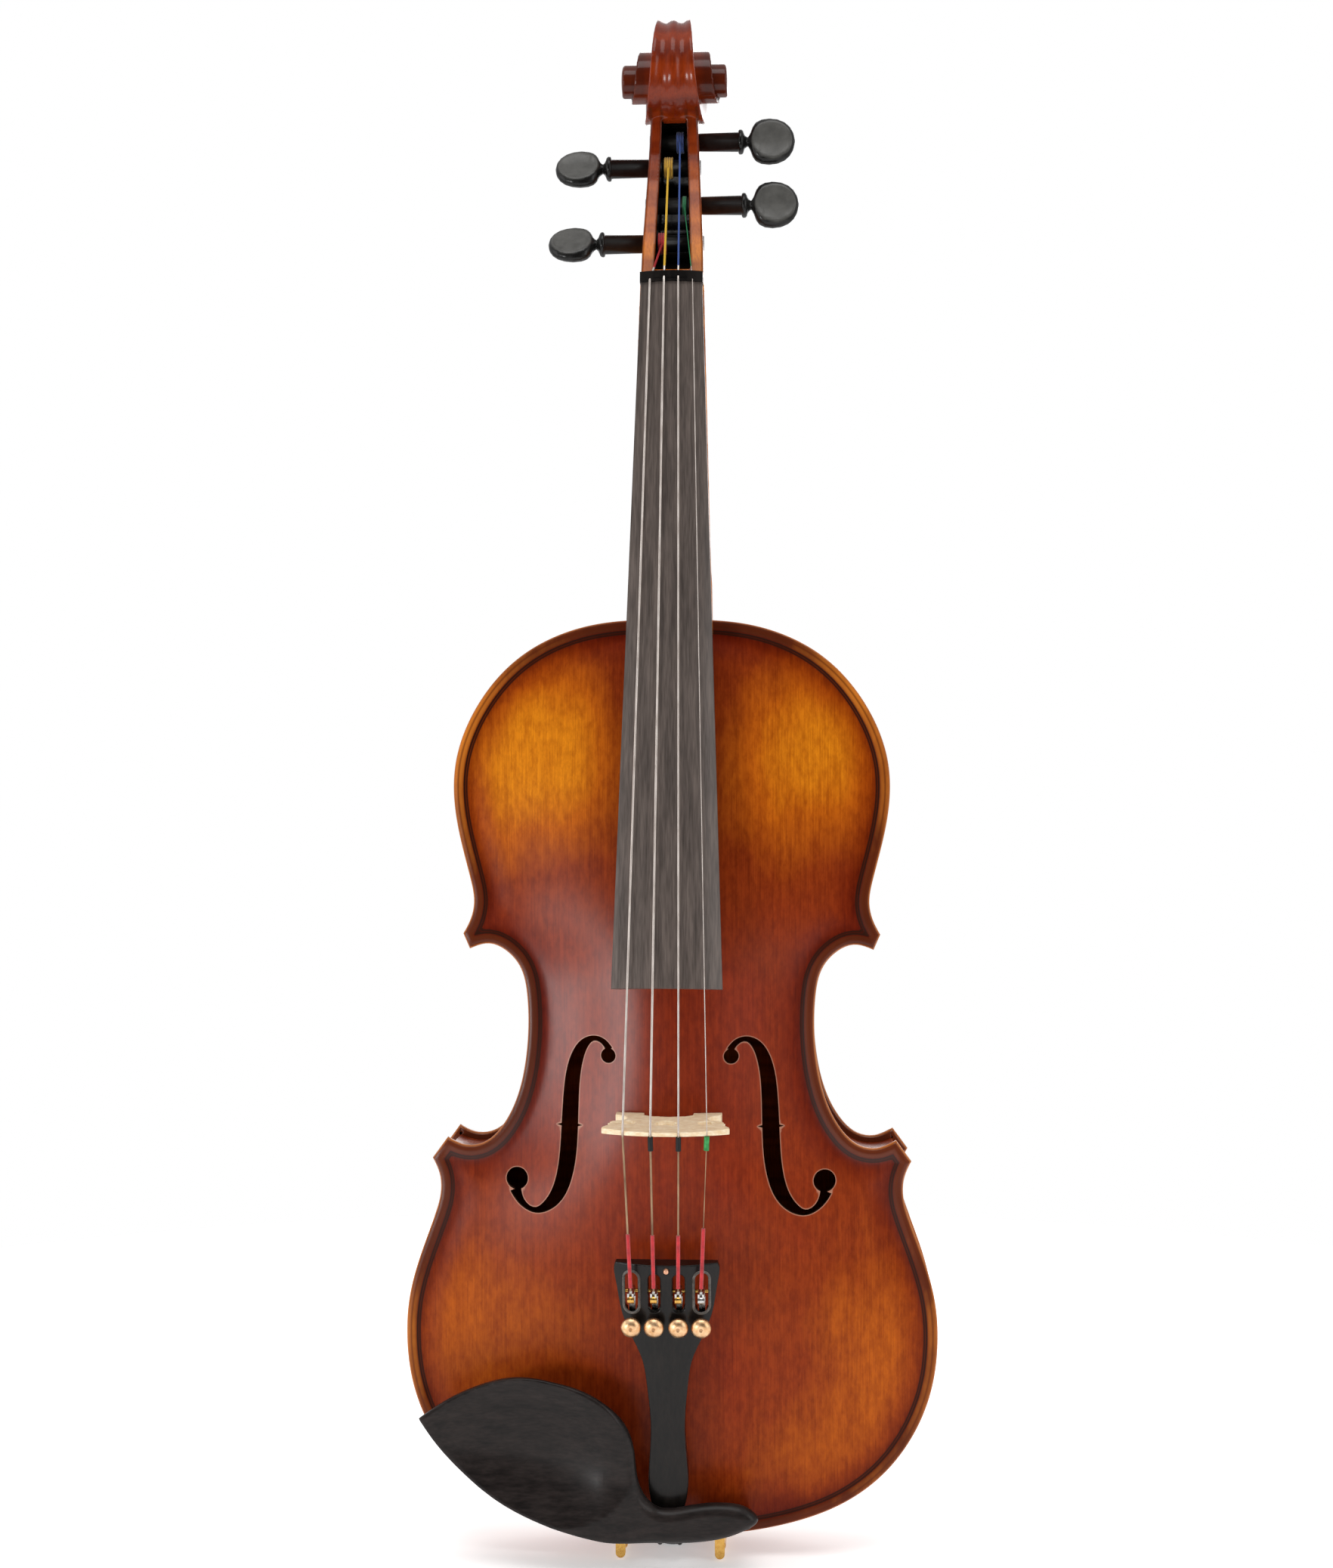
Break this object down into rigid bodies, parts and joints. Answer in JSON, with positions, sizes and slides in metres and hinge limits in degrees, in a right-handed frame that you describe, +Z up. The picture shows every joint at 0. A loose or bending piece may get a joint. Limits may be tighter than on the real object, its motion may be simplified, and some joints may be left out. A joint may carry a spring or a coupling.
{
  "type": "violin",
  "caption": "Full-size violin, strung and set up: arched body with sound holes, neck and scroll, turning pegs, bridge, tailpiece with fine adjusters, and a clamped chin rest.",
  "frame": {"origin": "on the end button's axis, half way through the ribs, level with the lower edge of the plates; a violin stand's cradle takes the weight there", "axes": "+Z up from the tail to the scroll, +Y from the front to the back, +X to the treble side"},
  "size_m": [0.2066, 0.1032, 0.6066],
  "materials": {
    "varnished_spruce": "satin varnish",
    "varnished_maple": "satin varnish",
    "bare_spruce": "bare",
    "bare_maple": "bare",
    "ebony": "oiled",
    "purfling": "varnished",
    "black_plastic": "satin",
    "steel": "bright",
    "brass": "polished",
    "silk": "thread wrapped",
    "sleeve": "satin",
    "gut": "satin",
    "cork": "matt"
  },
  "bodies": {
    "violin": {"top_plate": "varnished_spruce", "back_plate": "varnished_maple", "purfling_top": "purfling", "purfling_back": "purfling", "upper_ribs": "varnished_maple", "waist_ribs": "varnished_maple", "lower_ribs": "varnished_maple", "upper_block": "bare_spruce", "lower_block": "bare_spruce", "corner_blocks": "bare_spruce", "linings": "bare_spruce", "bass_bar": "bare_spruce", "sound_post": "bare_spruce", "neck": "varnished_maple", "fingerboard": "ebony", "nut": "ebony", "bridge": "bare_maple", "tailpiece": "black_plastic", "adjuster_pins": "steel", "tailpiece_stud": "brass", "string_g": "steel", "string_d": "steel", "string_a": "steel", "string_e": "steel", "string_silks": "silk", "string_sleeves": "sleeve", "saddle": "ebony", "tail_gut": "gut", "end_button": "ebony", "chin_rest": "ebony", "chin_rest_cork": "cork", "clamp_legs": "brass"},
    "peg_g": {"peg_g": "ebony", "winding_g": "steel"},
    "peg_e": {"peg_e": "ebony", "winding_e": "steel"},
    "peg_d": {"peg_d": "ebony", "winding_d": "steel"},
    "peg_a": {"peg_a": "ebony", "winding_a": "steel"},
    "adjuster_screw_g": {"adjuster_stem_g": "steel"},
    "adjuster_head_g": {"adjuster_knob_g": "brass"},
    "adjuster_lever_g": {"adjuster_lever_g": "steel", "string_ball_g": "brass"},
    "adjuster_screw_d": {"adjuster_stem_d": "steel"},
    "adjuster_head_d": {"adjuster_knob_d": "brass"},
    "adjuster_lever_d": {"adjuster_lever_d": "steel", "string_ball_d": "brass"},
    "adjuster_screw_a": {"adjuster_stem_a": "steel"},
    "adjuster_head_a": {"adjuster_knob_a": "brass"},
    "adjuster_lever_a": {"adjuster_lever_a": "steel", "string_ball_a": "brass"},
    "adjuster_screw_e": {"adjuster_stem_e": "steel"},
    "adjuster_head_e": {"adjuster_knob_e": "brass"},
    "adjuster_lever_e": {"adjuster_lever_e": "steel", "string_ball_e": "brass"},
    "clamp_foot": {"clamp_foot": "brass", "clamp_foot_cork": "cork"},
    "clamp_barrel_bass": {"clamp_barrel_bass": "brass"},
    "clamp_barrel_treble": {"clamp_barrel_treble": "brass"}
  },
  "joints": [
    {"name": "peg_g_turn", "type": "hinge", "parent": "violin", "child": "peg_g", "pos_m": [0, 0.00349, 0.50656], "axis": [1, 0, 0], "continuous": true},
    {"name": "peg_e_turn", "type": "hinge", "parent": "violin", "child": "peg_e", "pos_m": [0, 0.00803, 0.52262], "axis": [1, 0, 0], "continuous": true},
    {"name": "peg_d_turn", "type": "hinge", "parent": "violin", "child": "peg_d", "pos_m": [0, 0.01207, 0.53874], "axis": [1, 0, 0], "continuous": true},
    {"name": "peg_a_turn", "type": "hinge", "parent": "violin", "child": "peg_a", "pos_m": [0, 0.01443, 0.54953], "axis": [1, 0, 0], "continuous": true},
    {"name": "adjuster_g_screw", "type": "slide", "parent": "violin", "child": "adjuster_screw_g", "axis": [0, 0.9834, 0.1814], "range_m": [0, 0.0025]},
    {"name": "adjuster_g_head", "type": "hinge", "parent": "adjuster_screw_g", "child": "adjuster_head_g", "pos_m": [-0.0132, -0.05114, 0.08821], "axis": [0, 0.9834, 0.1814], "range_deg": [0, 1800]},
    {"name": "adjuster_g_lever", "type": "hinge", "parent": "violin", "child": "adjuster_lever_g", "pos_m": [-0.0132, -0.04624, 0.10081], "axis": [1, 0, 0], "range_deg": [0, 12.46]},
    {"name": "adjuster_d_screw", "type": "slide", "parent": "violin", "child": "adjuster_screw_d", "axis": [0, 0.9834, 0.1814], "range_m": [0, 0.0025]},
    {"name": "adjuster_d_head", "type": "hinge", "parent": "adjuster_screw_d", "child": "adjuster_head_d", "pos_m": [-0.0046, -0.05114, 0.08821], "axis": [0, 0.9834, 0.1814], "range_deg": [0, 1800]},
    {"name": "adjuster_d_lever", "type": "hinge", "parent": "violin", "child": "adjuster_lever_d", "pos_m": [-0.0046, -0.04624, 0.10081], "axis": [1, 0, 0], "range_deg": [0, 12.46]},
    {"name": "adjuster_a_screw", "type": "slide", "parent": "violin", "child": "adjuster_screw_a", "axis": [0, 0.9834, 0.1814], "range_m": [0, 0.0025]},
    {"name": "adjuster_a_head", "type": "hinge", "parent": "adjuster_screw_a", "child": "adjuster_head_a", "pos_m": [0.0046, -0.05114, 0.08821], "axis": [0, 0.9834, 0.1814], "range_deg": [0, 1800]},
    {"name": "adjuster_a_lever", "type": "hinge", "parent": "violin", "child": "adjuster_lever_a", "pos_m": [0.0046, -0.04624, 0.10081], "axis": [1, 0, 0], "range_deg": [0, 12.46]},
    {"name": "adjuster_e_screw", "type": "slide", "parent": "violin", "child": "adjuster_screw_e", "axis": [0, 0.9834, 0.1814], "range_m": [0, 0.0025]},
    {"name": "adjuster_e_head", "type": "hinge", "parent": "adjuster_screw_e", "child": "adjuster_head_e", "pos_m": [0.0132, -0.05114, 0.08821], "axis": [0, 0.9834, 0.1814], "range_deg": [0, 1800]},
    {"name": "adjuster_e_lever", "type": "hinge", "parent": "violin", "child": "adjuster_lever_e", "pos_m": [0.0132, -0.04624, 0.10081], "axis": [1, 0, 0], "range_deg": [0, 12.46]},
    {"name": "clamp_slide", "type": "slide", "parent": "violin", "child": "clamp_foot", "axis": [0, 1, 0], "range_m": [0, 0.005]},
    {"name": "clamp_barrel_bass_turn", "type": "hinge", "parent": "violin", "child": "clamp_barrel_bass", "pos_m": [-0.0192, -0.002, -0.0056], "axis": [0, 1, 0], "range_deg": [0, 1285.71]},
    {"name": "clamp_barrel_treble_turn", "type": "hinge", "parent": "violin", "child": "clamp_barrel_treble", "pos_m": [0.0192, -0.002, -0.0056], "axis": [0, 1, 0], "range_deg": [0, 1285.71]}
  ],
  "couplings": [
    {"joint": "adjuster_g_head", "follows": "adjuster_g_screw", "rad_per_m": 12566},
    {"joint": "adjuster_g_lever", "follows": "adjuster_g_screw", "rad_per_m": 86.957},
    {"joint": "adjuster_d_head", "follows": "adjuster_d_screw", "rad_per_m": 12566},
    {"joint": "adjuster_d_lever", "follows": "adjuster_d_screw", "rad_per_m": 86.957},
    {"joint": "adjuster_a_head", "follows": "adjuster_a_screw", "rad_per_m": 12566},
    {"joint": "adjuster_a_lever", "follows": "adjuster_a_screw", "rad_per_m": 86.957},
    {"joint": "adjuster_e_head", "follows": "adjuster_e_screw", "rad_per_m": 12566},
    {"joint": "adjuster_e_lever", "follows": "adjuster_e_screw", "rad_per_m": 86.957},
    {"joint": "clamp_barrel_bass_turn", "follows": "clamp_slide", "rad_per_m": 4488},
    {"joint": "clamp_barrel_treble_turn", "follows": "clamp_slide", "rad_per_m": 4488}
  ]
}
